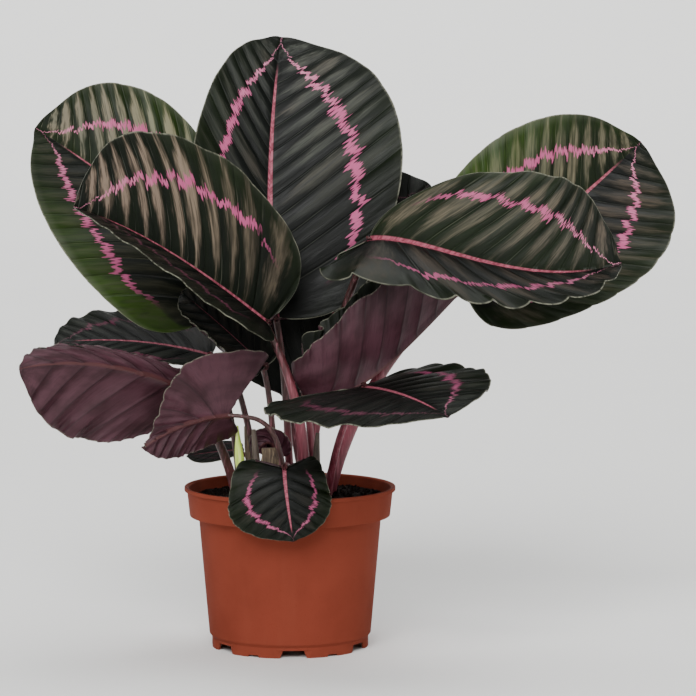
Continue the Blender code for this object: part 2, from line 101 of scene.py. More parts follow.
LEAVES = (
    Leaf("leaf_back_center", ((-8, 10, 186), (-14, 22, 238), (-12, 35, 299), (-6, 62, 343)),
         (47, 76), ((0, -1, 0.1), (0, -0.9, 0.5)), (12, 4), (8, 6), leans=(0.15, -0.1),
         left_ends=(0.8, 0.74), wave=1.0),
    Leaf("leaf_back_left", ((-46, 15, 184), (-58, 28, 236), (-101, 38, 263), (-144, 36, 292)),
         (53, 57), ((0, -1, 0.2), (-0.1, -1, 0.3)), (5, 5), (8, -25), leans=(0.12, -0.4),
         left_ends=(0.65, 1.0), right_ends=(2.2, 0.8), wave=1.0),
    Leaf("leaf_front_left", ((-12, -18, 186), (-45, -32, 214), (-79, -50, 240), (-114, -62, 252)),
         (54, 60), ((0, -0.7, 0.7), (0, -0.7, 0.7)), (40, 42), (-10, -10), leans=(0, -0.15),
         right_ends=(0.75, 0.5), wave=1.0),
    Leaf("leaf_front_right", ((45, -25, 233), (74, -36, 238), (126, -50, 205), (180, -55, 221)),
         (54, 45), ((0, -0.7, 0.7), (0, -0.7, 0.7)), (38, 22), (-8, -6), lobes=(-0.05, 0.22),
         leans=(-0.3, 0.35), left_ends=(0.9, 0.45), right_ends=(0.75, 0.75), wave=1.0),
    Leaf("leaf_back_right", ((98, 5, 204), (132, 18, 224), (172, 28, 258), (198, 22, 284)),
         (57, 57), ((0, -1, 0.1), (0, -1, 0.2)), (6, 6), (-8, -6), leans=(0.05, -0.3),
         right_ends=(0.7, 0.8), wave=1.0),
    Leaf("leaf_middle_right", ((-2, 33, 139), (18, 36, 178), (50, 42, 234), (78, 44, 259)),
         (44, 34), ((0, -1, 0.3), (0, -1, 0.3)), (5, 5), (0, 0), left_ends=(0.5, 0.9),
         right_ends=(0.6, 0.8), wave=1.0),
    Leaf("leaf_cup_right", ((8, -11, 146), (34, -20, 138), (62, -24, 170), (102, -22, 211)),
         (42, 40), ((-0.7, 0.2, 0.65), (-0.7, 0.2, 0.65)), (75, 30), (10, 60), lobes=(0.15, 0.1),
         left_ends=(0.4, 0.8), right_ends=(0.5, 0.8), wave=1.0),
    Leaf("leaf_low_right", ((42, -38, 152), (56, -66, 154), (70, -94, 152), (85, -116, 145)),
         (48, 78), ((0, 0, 1), (0, 0, 1)), (18, -8), (-8, 4), lobes=(0.1, 0.1), wave=1.0),
    Leaf("leaf_low_left", ((-54, -25, 147), (-77, -45, 161), (-109, -62, 172), (-144, -72, 166)),
         (15, 49), ((0, 1, 0.1), (0, 0.9, 0.3)), (10, 5), (110, 10), wave=2.5),
    Leaf("leaf_behind_left", ((-45, 10, 165), (-70, 12, 173), (-105, 8, 176), (-132, 4, 173)),
         (34, 44), ((0, -0.35, 1), (0, -0.25, 1)), (2, 3), (0, 0), lobes=(0, 0),
         right_ends=(0.5, 0.8), wave=1.5),
    Leaf("leaf_small_left", ((-34, -35, 136), (-48, -44, 136), (-64, -54, 132), (-79, -60, 121)),
         (36, 20), ((0, 0.95, 0.3), (0, 0.95, 0.3)), (5, 5), (10, 10), lobes=(0.5, 0.25),
         leans=(0.7, 0.2), left_ends=(0.35, 1.9), wave=1.0),
    Leaf("leaf_over_rim", ((-2, -57, 109), (-2, -64, 103), (0, -68, 88), (3, -66, 70)),
         (24, 33), ((0, -1, 0.2), (0, -1, 0)), (0, 0), (-15, -15), lobes=(0.3, 0.25),
         left_ends=(0.6, 1.1), right_ends=(0.6, 1.35), wave=1.0),
    Leaf("leaf_low_back_left", ((-29, 19, 110), (-38, 23, 109), (-50, 27, 107), (-60, 30, 105)),
         (10, 10), ((0, -0.6, 1), (0, -0.6, 1)), (0, 0), (0, 0), left_ends=(0.8, 1.4),
         right_ends=(0.8, 1.4)),
    Leaf("leaf_inner_cup", ((-14, -4, 160), (-28, -3, 174), (-46, -2, 190), (-60, -2, 201)),
         (28, 20), ((0.3, -0.9, 0.3), (0.3, -0.9, 0.3)), (20, 10), (60, 10), wave=1.0),
    Leaf("leaf_inner_small", ((-6, 1, 108), (-9, -3, 118), (-13, -6, 121), (-19, -8, 112)),
         (10, 10), ((0, 0.6, 0.8), (0, 0.9, 0.2)), (0, 0), (0, 0)),
)

LOOKS = {
    "leaf_back_center": Look(12, outer=(0.2, 0.15), streaks=(0.3, 0.6), fade=1.0, warmth=0.2, rib=1.3,
                             pleat=1.3, ruffle=(0.3, 0.3)),
    "leaf_back_left": Look(13, outer=(0.95, 0.8), inner=(0.04, 0.3), streaks=(0.1, 1.8), ring=(0.8, 1.0),
                           fade=0.0, warmth=0.45, rib=0.7, ruffle=(0.3, 0.3)),
    "leaf_front_left": Look(11, outer=(0.1, 0.25), inner=(0.0, 0.1), streaks=(0.1, 1.3), ring=(0.15, 1.0),
                            fade=0.5, warmth=0.8, rib=0.75, pleat=1.2, ruffle=(0.4, 0.4)),
    "leaf_front_right": Look(9, outer=(0.3, 0.1), inner=(0.2, 0.0), streaks=(0.55, 0.2), ring=(0.9, 0.6),
                             fade=0.0, warmth=0.5, rib=1.2, pleat=1.1,
                             ruffle=(0.3, -2.2), scallops=8),
    "leaf_back_right": Look(12, outer=(1.1, 0.3), inner=(0.2, 0.0), streaks=(0.65, 0.3), warmth=0.5,
                            rib=1.3, ruffle=(0.3, 1.2)),
    "leaf_middle_right": Look(10, streaks=(0.1, 0.1), ring=(0.1, 0.1), warmth=0.1, rib=0.3),
    "leaf_cup_right": Look(8, streaks=(0.2, 0.2), ring=(0.1, 0.1), warmth=0.1, rib=0.5, pleat=1.2,
                           ruffle=(0.9, 0.9)),
    "leaf_low_right": Look(9, outer=(0.1, 0.1), streaks=(0.25, 0.1), ring=(0.5, 0.15), warmth=0.1,
                           rib=1.0, ruffle=(0.9, 0.9), scallops=8),
    "leaf_low_left": Look(6, outer=(0.2, 0.2), streaks=(0.5, 0.2), warmth=0.1, pleat=1.7,
                          ruffle=(0.8, 0.8), scallops=14),
    "leaf_behind_left": Look(9, outer=(0.1, 0.1), streaks=(0.3, 0.3), ring=(0.2, 0.2), warmth=0.1,
                             ruffle=(0.3, 0.3)),
    "leaf_small_left": Look(6, streaks=(0.3, 0.3), pleat=1.5, ruffle=(0.8, 0.8), scallops=11),
    "leaf_over_rim": Look(7, outer=(0.15, 0.15), streaks=(0.12, 0.12), ring=(0.75, 0.75), warmth=0.2,
                          rib=0.7, pleat=0.7, ruffle=(0.5, 0.5)),
    "leaf_low_back_left": Look(6, streaks=(0.1, 0.1), ring=(0.1, 0.1), rib=0.3, pleat=0.2,
                               ruffle=(0.0, 0.0)),
    "leaf_inner_cup": Look(7, streaks=(0.1, 0.1), ring=(0.0, 0.0), rib=0.2, pleat=0.9),
    "leaf_inner_small": Look(6, streaks=(0.2, 0.2), ring=(0.1, 0.1), rib=0.5, pleat=0.4,
                             ruffle=(0.3, 0.3)),
}

STEMS = (
    Stem("stem_back_center", ((0, 16, 77), (-1, 17, 120), (-3, 14, 160), "leaf_back_center"),
         (2.6, 1.7)),
    Stem("stem_back_left", ((-17, 15, 77), (-20, 18, 110), (-30, 18, 158), "leaf_back_left"),
         (2.2, 1.4), 0.15),
    Stem("stem_front_left", ((7, -16, 77), (10, -20, 112), (8, -22, 145), "leaf_front_left"),
         (4.2, 1.7), 0.85),
    Stem("stem_front_right", ((8, 10, 77), (12, 12, 125), (28, 15, 195), "leaf_front_right"),
         (3.4, 1.8), 0.8),
    Stem("stem_back_right", ((20, 4, 77), (27, 4, 118), (54, 6, 172), "leaf_back_right"),
         (4.3, 2.2), 0.9),
    Stem("stem_middle_right", ((9, 24, 77), (7, 27, 95), (0, 31, 118), "leaf_middle_right"),
         (2.4, 1.6)),
    Stem("stem_cup_right", ((14, -6, 77), (14, -7, 100), (12, -8, 125), "leaf_cup_right"),
         (2.6, 1.8), 0.6),
    Stem("stem_low_right", ((21, -8, 77), (22, -10, 105), (32, -24, 140), "leaf_low_right"),
         (2.4, 1.6), 0.75),
    Stem("stem_low_left", ((-28, -6, 77), (-33, -8, 105), (-44, -16, 130), "leaf_low_left"),
         (3.2, 1.8), 0.2),
    Stem("stem_behind_left", ((-28, 8, 77), (-30, 9, 110), (-34, 12, 145), "leaf_behind_left"),
         (2.2, 1.5), 0.2),
    Stem("stem_small_left", ((-2, -30, 77), (-2, -31, 138), (-16, -36, 134), "leaf_small_left"),
         (2.2, 1.0), 0.1),
    Stem("stem_over_rim", ((4, -40, 77), (3, -42, 108), (-1, -50, 115), "leaf_over_rim"),
         (1.6, 1.1)),
    Stem("stem_low_back_left", ((-20, 22, 77), (-20, 22, 95), (-24, 18, 108), "leaf_low_back_left"),
         (1.5, 1.0)),
    Stem("stem_inner_cup", ((-8, 5, 77), (-9, 6, 110), (-10, 5, 140), "leaf_inner_cup"),
         (2.2, 1.5)),
    Stem("stem_inner_small", ((1, 2, 77), (0, 3, 92), (-3, 3, 100), "leaf_inner_small"),
         (1.4, 1.0)),
    Stem("young_shoot", ((-24, -18, 77), (-26, -19, 95), (-29, -20, 112), (-29, -20, 128)),
         (1.6, 2.4, 2.8, 0.5)),
    Stem("shoot_sheath", ((-20, -13, 77), (-21, -13, 95), (-24, -14, 112), (-25, -14, 127)),
         (2.0, 2.2, 1.8, 0.6)),
    Stem("stub_left", ((-15, -20, 77), (-17, -21, 95), (-19, -21, 112), (-20, -21, 126)),
         (2.4, 2.2, 2.2, 1.2)),
    Stem("stub_right", ((15, -22, 77), (15, -22, 95), (15, -21, 112), (16, -21, 124)),
         (2.4, 2.2, 2.2, 1.2)),
    Stem("dry_sheath", ((-9, -25, 77), (-9, -25, 90), (-10, -25, 104), (-10, -25, 116)),
         (2.8, 4.6, 6.4, 5.4)),
)


def linear(code):
    """A linear colour from a hexadecimal one."""
    parts = [int(code[i:i + 2], 16) / 255 for i in (1, 3, 5)]
    return tuple(c / 12.92 if c <= 0.04045 else ((c + 0.055) / 1.055) ** 2.4 for c in parts)


def colour(name, description, code):
    """A colour property."""
    return bpy.props.FloatVectorProperty(name=name, description=description, subtype="COLOR", size=3,
                                         min=0, max=1, default=linear(code))


def length(name, description, default):
    """A length property in metres."""
    return bpy.props.FloatProperty(name=name, description=description, default=default, min=0,
                                   subtype="DISTANCE", unit="LENGTH", precision=4)


def share(name, description, default):
    """A property from 0 to 1."""
    return bpy.props.FloatProperty(name=name, description=description, default=default, min=0, max=1,
                                   subtype="FACTOR")


def count(name, description, default, least):
    """A whole number."""
    return bpy.props.IntProperty(name=name, description=description, default=default, min=least)


def strength(name, description, default):
    """The strength of a light."""
    return bpy.props.FloatProperty(name=name, description=description, default=default, min=0)


class CalatheaLeafSettings(bpy.types.PropertyGroup):
    """Sizes and colours of the blades."""
    rows: count("Rows", "Mesh rows from base to tip", 170, 20)
    columns: count("Columns", "Mesh columns on each half", 26, 6)
    thickness: length("Thickness", "Thickness of the blade", 0.00055)
    rib: length("Midrib", "Thickness of the blade at its midrib", 0.0024)
    ring_place: share("Ring place", "Where the pink ring runs between midrib and margin", 0.66)
    ring_width: share("Ring width", "Half width of the pink ring", 0.03)
    dark: colour("Ground", "Near-black green of the upper side", "#080b08")
    green: colour("Green", "Green of the lighter blades", "#25380b")
    lime: colour("Lime", "Bright green near the base of the greenest blade", "#35500a")
    # Grey feathering is partly painted sheen along the pleats
    grey: colour("Grey feathering", "Cool feathering along the side veins", "#50534e")
    tan: colour("Tan feathering", "Warm feathering along the side veins", "#7d6a5e")
    cream: colour("Cream feathering", "Feathering on the green blades", "#8b8c68")
    pink: colour("Ring", "Pink of the ring", "#b0527a")
    pale_pink: colour("Ring, pale", "Paler fibres in the ring", "#c9869c")
    rib_pink: colour("Midrib colour", "Pink of the midrib", "#a65a6a")
    rib_dark: colour("Midrib, dark", "Darker streaks along the midrib", "#7d3a48")
    # Also the colour of the painted sheen at the margin of green halves
    margin: colour("Margin", "Pale line along the margin", "#8d8d7c")
    under: colour("Underside", "Purple of the lower side", "#32181f")
    under_light: colour("Underside, lit", "Lighter purple between the veins", "#4a2c35")
    # Partly a painted highlight on the folds between the veins
    under_fibre: colour("Underside fibres", "Dark fibres of the lower side", "#221016")
    # Painted shade in the crease of each side vein below
    under_vein: colour("Underside veins", "Dark line along each side vein below", "#1f0e14")
    under_rib: colour("Underside midrib", "Midrib of the lower side", "#4d2c2c")


class CalatheaStalkSettings(bpy.types.PropertyGroup):
    """Colours of petioles, shoots and stubs."""
    pink: colour("Pink", "Pink petioles", "#722c3a")
    # Also the painted shade on the upper part of the petioles
    brown: colour("Brown", "Brown petioles", "#3a1f1c")
    pale: colour("Pale streaks", "Pale streaks along the petioles", "#b5707c")
    dark: colour("Dark streaks", "Dark streaks along the petioles", "#2a1214")
    shoot_green: colour("Shoot, green", "Greenest streaks of the young shoot", "#8fae3c")
    shoot: colour("Shoot", "Young shoot", "#bcd356")
    shoot_pale: colour("Shoot, pale", "Palest streaks of the young shoot", "#e3eaa0")
    husk_dark: colour("Husk, dark", "Dark streaks of the dry sheaths", "#2a1d15")
    husk: colour("Husk", "Dry sheaths", "#4a3b2c")
    husk_pale: colour("Husk, pale", "Pale streaks of the dry sheaths", "#7d6c54")
    stub_dark: colour("Stub, dark", "Dark streaks of the old stalks", "#352a27")
    stub: colour("Stub", "Old cut stalks", "#4b4036")
    stub_pale: colour("Stub, pale", "Pale streaks of the old stalks", "#5f554a")


class CalatheaPotSettings(bpy.types.PropertyGroup):
    """Sizes and colours of the pot."""
    radius: length("Rim radius", "Outer radius of the lip", RIM_RADIUS)
    height: length("Height", "Height of the pot", POT_HEIGHT)
    wall: length("Wall", "Thickness of the wall", 0.0013)
    body: colour("Plastic", "Terracotta-coloured plastic", "#78382a")
    shade: colour("Cloud", "Darker clouds in the plastic", "#5e2a1f")
    scuff: colour("Scuffs", "Rubbed and dusty places", "#804434")
    speck: colour("Specks", "Fine dark specks", "#551d0e")


class CalatheaSoilSettings(bpy.types.PropertyGroup):
    """Sizes and colours of the soil."""
    crumbs: count("Crumbs", "Loose crumbs on the soil", 1100, 0)
    crumb: length("Crumb", "Mean radius of a crumb", 0.0007)
    peat: colour("Peat", "Dark peat", "#1c110b")
    # Darker colour of the hollows between the lumps
    hollow_peat: colour("Damp peat", "Nearly black hollows between the lumps", "#080504")
    fibre: colour("Fibre", "Lighter fibres in the peat", "#3c2a1c")


class CalatheaStageSettings(bpy.types.PropertyGroup):
    """Floor, light and camera."""
    floor: length("Floor", "Half width of the floor", 9.0)
    sweep: length("Sweep", "Rise of the floor's far edges", 3.0)
    pale: colour("Floor colour", "Pale floor", "#f4f4f2")
    tint: colour("Floor tint", "Faint cloud on the floor", "#ececea")
    key: strength("Key light", "Strength of the key light", 3.5)
    sky: strength("Sky", "Strength of the even light", 0.16)
    lens: bpy.props.FloatProperty(name="Lens", description="Focal length", default=165.05, min=1,
                                  subtype="DISTANCE_CAMERA")


# Shader arithmetic

class Wire:
    """An output socket of a material; arithmetic on it adds Math nodes."""

    def __init__(self, socket):
        self.socket = socket

    def node(self, kind, feeds=None, output=0, stops=(), **settings):
        """Add a node: its settings first, then the values or wires of its inputs. Gives one output."""
        tree = self.socket.id_data
        made = tree.nodes.new("ShaderNode" + kind)
        for key, value in settings.items():
            setattr(made, key, value)
        for place, (at, shade) in enumerate(stops):
            element = made.color_ramp.elements[place] if place < 2 else made.color_ramp.elements.new(at)
            element.position = at
            element.color = (*shade, 1)
        for key, value in (feeds or {}).items():
            if isinstance(value, Wire):
                tree.links.new(value.socket, made.inputs[key])
            else:
                made.inputs[key].default_value = value
        return Wire(made.outputs[output])

    def maths(self, operation, *others):
        """A Math node fed by this wire and then the others."""
        return self.node("Math", dict(enumerate((self, *others))), operation=operation)

    def __add__(self, other):
        return self.maths("ADD", other)

    __radd__ = __add__

    def __sub__(self, other):
        return self.maths("SUBTRACT", other)

    def __rsub__(self, other):
        return self.node("Math", {0: other, 1: self}, operation="SUBTRACT")

    def __mul__(self, other):
        return self.maths("MULTIPLY", other)

    __rmul__ = __mul__

    def __truediv__(self, other):
        return self.maths("DIVIDE", other)

    def __pow__(self, other):
        return self.maths("POWER", other)

    def __abs__(self):
        return self.maths("ABSOLUTE")


def rise(wire, low, high, start=0.0, end=1.0):
    """A smooth rise of a value from start to end between two levels."""
    feeds = {"Value": wire, "From Min": low, "From Max": high, "To Min": start, "To Max": end}
    return wire.node("MapRange", feeds, interpolation_type="SMOOTHSTEP")


def blend(amount, first, second):
    """A mix of two colours by a wire; a Mix node's sockets 6 and 7 are colours and its output 2 the mix."""
    first, second = (shade if isinstance(shade, Wire) else (*shade, 1) for shade in (first, second))
    return amount.node("Mix", {0: amount, 6: first, 7: second}, 2, data_type="RGBA")


def dimmed(shade, amount):
    """A colour made darker."""
    return tuple(amount * part for part in shade)


def grain(place, scale, detail=3.0, roughness=0.55):
    """Noise read at a place."""
    feeds = {"Vector": place, "Scale": scale, "Detail": detail, "Roughness": roughness}
    return place.node("TexNoise", feeds)


def new_material(name, uv_map=None):
    """A Principled material, its shader, and a wire of object coordinates or of one of the piece's maps."""
    made = bpy.data.materials.new(name)
    made.use_nodes = True
    nodes = made.node_tree.nodes
    if uv_map:
        source = nodes.new("ShaderNodeUVMap")
        source.uv_map = uv_map
    else:
        source = nodes.new("ShaderNodeTexCoord")
    return made, nodes["Principled BSDF"], Wire(source.outputs["UV" if uv_map else "Object"])


def finish_material(shader, base, roughness, bump=None, depth=0.0002, **constants):
    """Connect a shader's colour, roughness and bump, and set its other numbers."""
    tree = shader.id_data
    tree.links.new(base.socket, shader.inputs["Base Color"])
    if isinstance(roughness, Wire):
        tree.links.new(roughness.socket, shader.inputs["Roughness"])
    else:
        shader.inputs["Roughness"].default_value = roughness
    if bump:
        normal = bump.node("Bump", {"Height": bump, "Distance": depth, "Strength": 1.0})
        tree.links.new(normal.socket, shader.inputs["Normal"])
    for key, value in constants.items():
        shader.inputs[key.replace("_", " ")].default_value = value


# Leaf markings

SPAN = 100                          # millimetres from the midrib for 1 on a blade's second map


def leaf_coordinates(place):
    """The side, the share of the way to the margin, and the place along the midrib, from a blade's map."""
    across = place.node("SeparateXYZ", {0: place})
    along_rib = Wire(across.socket.node.outputs[1])
    right = across.maths("GREATER_THAN", 0.5)
    return right, abs(across * 2 - 1), along_rib


def vein_gap(along_rib, veins):
    """0 on a side vein and 0.5 midway between two."""
    return 0.5 - abs((along_rib * veins).maths("FRACT") - 0.5)


def by_side(right, values):
    """A number that differs between the left and the right half."""
    return right * (values[1] - values[0]) + values[0]


def rib_distance(place):
    """Millimetres from the midrib, read from the blade's second map."""
    other = place.node("UVMap", uv_map="span")
    return other.node("SeparateXYZ", {0: other}) * SPAN


def vein_grain(rib, out, side, lines, breaks, detail):
    """Noise drawn out along the side veins: lines along the midrib, breaks from midrib to margin."""
    return grain(rib.node("CombineXYZ", {0: rib * lines, 1: out * breaks, 2: side}), 1.0, detail)


def upper_material(name, look, leaf_set, seed):
    """The upper side: dark ground with painted shade near the base, feathering along side veins that is
    partly painted sheen, a jagged pink ring, a pink midrib and a painted sheen at green margins.
    """
    made, shader, uv = new_material(name, "blade")
    right, out, rib = leaf_coordinates(uv)
    side = right * 17.3 + seed
    phase = (rib * look.veins).maths("FRACT")
    gap = vein_gap(rib, look.veins)
    panel = (rib * look.veins).maths("FLOOR")
    fibres = vein_grain(rib, out, side, 170, 6, 2.0)
    streaks = vein_grain(rib, out, side, 60, 2.2, 3.0)
    broad = vein_grain(rib, out, side, 8, 1.5, 2.0)
    each = vein_grain(panel, out, side, 3.7, 1.1, 1.0)

    # Where the ring runs, and the part of the blade inside it
    ring_at = (1 - rib ** 5) ** 0.8 * leaf_set.ring_place * rise(rib, 0.0, 0.12, 0.72, 1.0)
    inside = rise(out - ring_at + (streaks - 0.5) * 0.12, 0.05, -0.05)

    # Ground colour: a green wash, strongest outside the ring and near the base
    wash_out, wash_in = by_side(right, look.outer), by_side(right, look.inner)
    wash_out = wash_out * rise(rib, 0.75, 0.15, 0.4, 1.0)
    wash = wash_out * rise(out, 0.66, 0.95, 0.6, 1.0)
    wash = (wash + (wash_in - wash) * inside) * rise(broad, 0.25, 0.65, 0.55, 1.1)
    base = blend(wash.maths("MINIMUM", 1.0), leaf_set.dark, leaf_set.green)
    lit = rise(wash_out * rise(rib, 0.5, 0.05) * (1 - inside), 0.6, 1.5)
    base = blend(lit, base, leaf_set.lime)
    base = blend(rise(fibres, 0.4, 0.7, 0.0, 0.4), base, dimmed(leaf_set.dark, 0.4))

    # Feathering and painted sheen: one lance of pale streaks between each two side veins, part pattern and
    # part painted sheen along the pleats
    drift = grain(uv.node("CombineXYZ", {0: panel * 5.3, 1: 4.0, 2: side}), 1.0, 1.0)
    off = abs(phase - 0.45 - (drift - 0.5) * 0.8 - (streaks - 0.5) * 0.35)
    lance = rise(out, 0.03, 0.4) * rise(out, 1.0, 0.75) * (each * 0.65 - 0.07)
    feathering_and_sheen = rise(lance - off + (fibres - 0.5) * 0.4, -0.17, 0.17) * rise(streaks, 0.3, 0.62, 0.25, 1.0)
    # The dimming towards the base is partly painted shade
    feathering_and_sheen = feathering_and_sheen * rise(fibres, 0.3, 0.7, 0.6, 1.0) * rise(rib, 0.1, 0.5, 1 - look.fade, 1.0)
    feathering_and_sheen = (feathering_and_sheen * by_side(right, look.streaks)).maths("MINIMUM", 0.95)
    warm = rise(each + broad * 0.4 + look.warmth * 1.4, 0.9, 1.7)
    feathering_and_sheen_colour = blend(warm, leaf_set.grey, leaf_set.tan)
    feathering_and_sheen_colour = blend(wash_out * 0.8, feathering_and_sheen_colour, leaf_set.cream)
    base = blend(feathering_and_sheen, base, feathering_and_sheen_colour)
    # A thin pale line on each side vein, and painted shade darkening the ground near the base
    line = rise(gap, 0.03, 0.006) * rise(streaks, 0.42, 0.62, 0.0, 0.45) * rise(out, 0.99, 0.8)
    line = line * (by_side(right, look.streaks) * 0.6 + 0.3)
    base = blend(line, base, blend(wash_out, leaf_set.grey, leaf_set.cream))
    base = blend(rise(rib, 0.4, 0.0) * 0.6 * look.fade, base, dimmed(leaf_set.dark, 0.3))

    # The ring, with jagged edges and breaks
    jag = (vein_grain(rib, out, side, 125, 3, 1.0) - 0.5) * 0.2
    step = (phase - 0.5) * 0.06 + (broad - 0.5) * 0.1
    thin = rise(rib, 0.97, 0.75, 0.35, 1.0) * rise(each, 0.3, 0.55, 0.6, 1.1)
    width = leaf_set.ring_width
    ring = rise(abs(out + jag + step - ring_at) / thin, width * 1.3, width * 0.8)
    gaps = rise(streaks + fibres * 0.5, 0.5, 0.64) * rise(rib, 0.03, 0.12)
    ring = ring * gaps * by_side(right, look.ring) * rise(out, 0.0, 0.02)
    pale = rise(fibres * 0.6 + rib * 0.5, 0.5, 0.95)
    base = blend(ring, base, blend(pale, leaf_set.pink, leaf_set.pale_pink))

    # Midrib, pale margin, and a painted sheen along the margin of the green halves
    distance = rib_distance(uv)
    rib_width = (1.02 - rib) ** 0.7 * (1.5 * look.rib) + 0.05
    rib_mask = rise(distance / rib_width, 1.2, 0.75) * rise(rib, 0.92, 0.8) * min(1.0, 2 * look.rib)
    base = blend(rib_mask, base, blend(rise(streaks, 0.4, 0.6), leaf_set.rib_pink, leaf_set.rib_dark))
    edge = rise(out, 0.984, 0.998) * rise(streaks, 0.35, 0.65, 0.1, 0.6)
    # Painted sheen: the margin lightens where the half is green
    edge = edge + rise(out, 0.9, 1.0) * wash_out * 0.15
    base = blend(edge, base, leaf_set.margin)

    rough = rise(streaks + fibres * 0.4, 0.5, 0.9, 0.36, 0.55)
    bump = fibres * 0.5 + rise(gap, 0.0, 0.08) * 0.8 + streaks * 0.5
    finish_material(shader, base, rough, bump, 0.0003, Specular_IOR_Level=0.13)
    return made


def under_material(name, look, leaf_set, seed):
    """The lower side: purple, with creased veins, painted shade in each crease and partly painted
    highlights between them.
    """
    made, shader, uv = new_material(name, "blade")
    right, out, rib = leaf_coordinates(uv)
    side = right * 11.1 + seed
    gap = vein_gap(rib, look.veins)
    fibres = vein_grain(rib, out, side, 130, 5, 3.0)
    broad = vein_grain(rib, out, side, 7, 3, 3.0)
    # Lighter between the veins: random tone and a painted highlight on the folds
    base = blend(rise(broad + gap * 0.4, 0.4, 0.8), leaf_set.under, leaf_set.under_light)
    base = blend(rise(fibres, 0.45, 0.75, 0.0, 0.3), base, leaf_set.under_fibre)
    # Painted shade in the crease along each side vein
    base = blend(rise(gap, 0.045, 0.0, 0.0, 0.6), base, leaf_set.under_vein)
    distance = rib_distance(uv)
    base = blend(rise(distance / ((1.1 - rib) * 1.3), 1.2, 0.7, 0.0, 0.8), base, leaf_set.under_rib)
    edge = rise(out, 0.98, 0.996) * rise(fibres, 0.35, 0.6, 0.0, 0.5)
    base = blend(edge, base, leaf_set.margin)
    bump = fibres * 0.4 + rise(gap, 0.1, 0.0) * 0.6
    finish_material(shader, base, rise(fibres, 0.3, 0.8, 0.42, 0.6), bump, 0.00025, Specular_IOR_Level=0.25)
    return made


# Leaf form

def bezier(points, u):
    """Points of a cubic Bezier at the parameters u."""
    p = np.array(points, dtype=float)
    u = np.atleast_1d(u)[:, None]
    v = 1 - u
    return v ** 3 * p[0] + 3 * v * v * u * p[1] + 3 * v * u * u * p[2] + u ** 3 * p[3]


def unit(vectors):
    """The vectors at length one."""
    return vectors / np.linalg.norm(vectors, axis=-1, keepdims=True)


def even_curve(points, samples=300):
    """A Bezier's points and tangents at even steps of length, and its length."""
    u = np.linspace(0, 1, samples)
    curve = bezier(points, u)
    reach = np.concatenate([[0], np.cumsum(np.linalg.norm(np.diff(curve, axis=0), axis=1))])
    curve = bezier(points, np.interp(np.linspace(0, reach[-1], samples), reach, u))
    return curve, unit(np.gradient(curve, axis=0)), reach[-1]


def along(values, a):
    """Read rows of values, spread evenly over 0 to 1, at the shares a, held at both ends."""
    at = np.linspace(0, 1, len(values))
    return np.stack([np.interp(a, at, column) for column in values.T], axis=-1)


VEIN_SWEEP = 0.95                   # how far the side veins lean towards the tip
LOBE_LENGTH = 2.4                   # higher numbers make shorter lobes beside the petiole
TIP_REACH = 0.02                    # length of the small point at the tip


def vein_start(reach):
    """Where on the midrib the side vein starts that ends at this share of the blade's length."""
    root = np.linspace(0, 1, 600)
    return np.interp(reach, root ** 2 + VEIN_SWEEP * root * (1 - root ** 2), root ** 2)


def of_half(across, pair):
    """The left or the right number of a pair, by the side of each point."""
    return np.where(across > 0, pair[1], pair[0])


def blade_surface(leaf, turn, across):
    """The middle surface of a blade in millimetres, with its place along the midrib and distance from it.

    turn runs from 0 at the base to pi at the tip, across from -1 at the left margin to 1 at the right.
    """
    curve, tangents, size = even_curve(leaf.midrib)
    out = np.abs(across)
    right = across > 0
    reach = (1 - np.cos(turn)) / 2
    start = vein_start(reach)
    margin = reach - of_half(across, leaf.lobes) * np.sin(np.minimum(LOBE_LENGTH * turn, math.pi))
    margin += TIP_REACH * np.exp(-((math.pi - turn) / 0.12) ** 2)
    start = start * (1 + TIP_REACH)
    a = start + (margin - start) * out ** 1.1
    at_base, at_tip = (of_half(across, pair) for pair in zip(leaf.left_ends, leaf.right_ends))
    power = at_base + (at_tip - at_base) * reach
    width = of_half(across, leaf.half_widths)
    half = width * np.sin(turn + of_half(across, leaf.leans) * np.sin(turn)).clip(0) ** power
    b = half * out
    point = along(curve, a) + along(tangents, a) * size * (a - np.clip(a, 0, 1))[..., None]
    tangent = along(tangents, a)
    face = along(np.array(leaf.faces, dtype=float), a)
    normal = unit(face - (face * tangent).sum(-1, keepdims=True) * tangent)
    sideways = np.cross(tangent, normal) * np.where(right, 1, -1)[..., None]
    fold = np.radians(of_half(across, leaf.folds))
    curl = np.radians(of_half(across, leaf.curls)) + 1e-4
    angle = fold + curl * b / width
    outward = width / curl * (np.sin(angle) - np.sin(fold))
    upward = width / curl * (np.cos(fold) - np.cos(angle))
    wave = np.sin(turn) * np.sin(2 * math.pi * leaf.waves * start + 2 * right)
    upward = upward + leaf.wave * out ** 2 * wave
    return point + sideways * outward[..., None] + normal * upward[..., None], start, b


def bulge_at(look, across, turn):
    """Scallops of the margin: 0 at each notch and 1 in the middle of each bulge."""
    reach = (1 - np.cos(turn)) / 2
    return np.abs(np.sin(math.pi * (look.scallops * reach + 0.4 * (across > 0)))) ** 0.6


def relief(look, start, b, across, turn):
    """Height of pleats, midrib groove and scalloped margin above the middle surface, in millimetres.

    The pleats fade in beside the midrib and flatten again at the margin, where the scallops begin.
    """
    out = np.abs(across)
    pleats = np.abs(np.sin(math.pi * start * look.veins)) ** 0.7 - 0.5
    body = np.clip(out / 0.15, 0, 1) * np.clip(np.sin(turn) * 2.5, 0, 1)
    groove = -0.45 * np.exp(-(b / 1.3) ** 2)
    scallop = out ** 5 * (2 * bulge_at(look, across, turn) - 1.2) * np.clip(np.sin(turn) * 3, 0, 1)
    fade = (0.55 + 0.45 * out) * (1 - 0.85 * out ** 5)
    return look.pleat * pleats * body * fade + groove + of_half(across, look.ruffle) * scallop


def settle(piece):
    """Put a finished piece on the plant's one body."""
    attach(piece, "root")


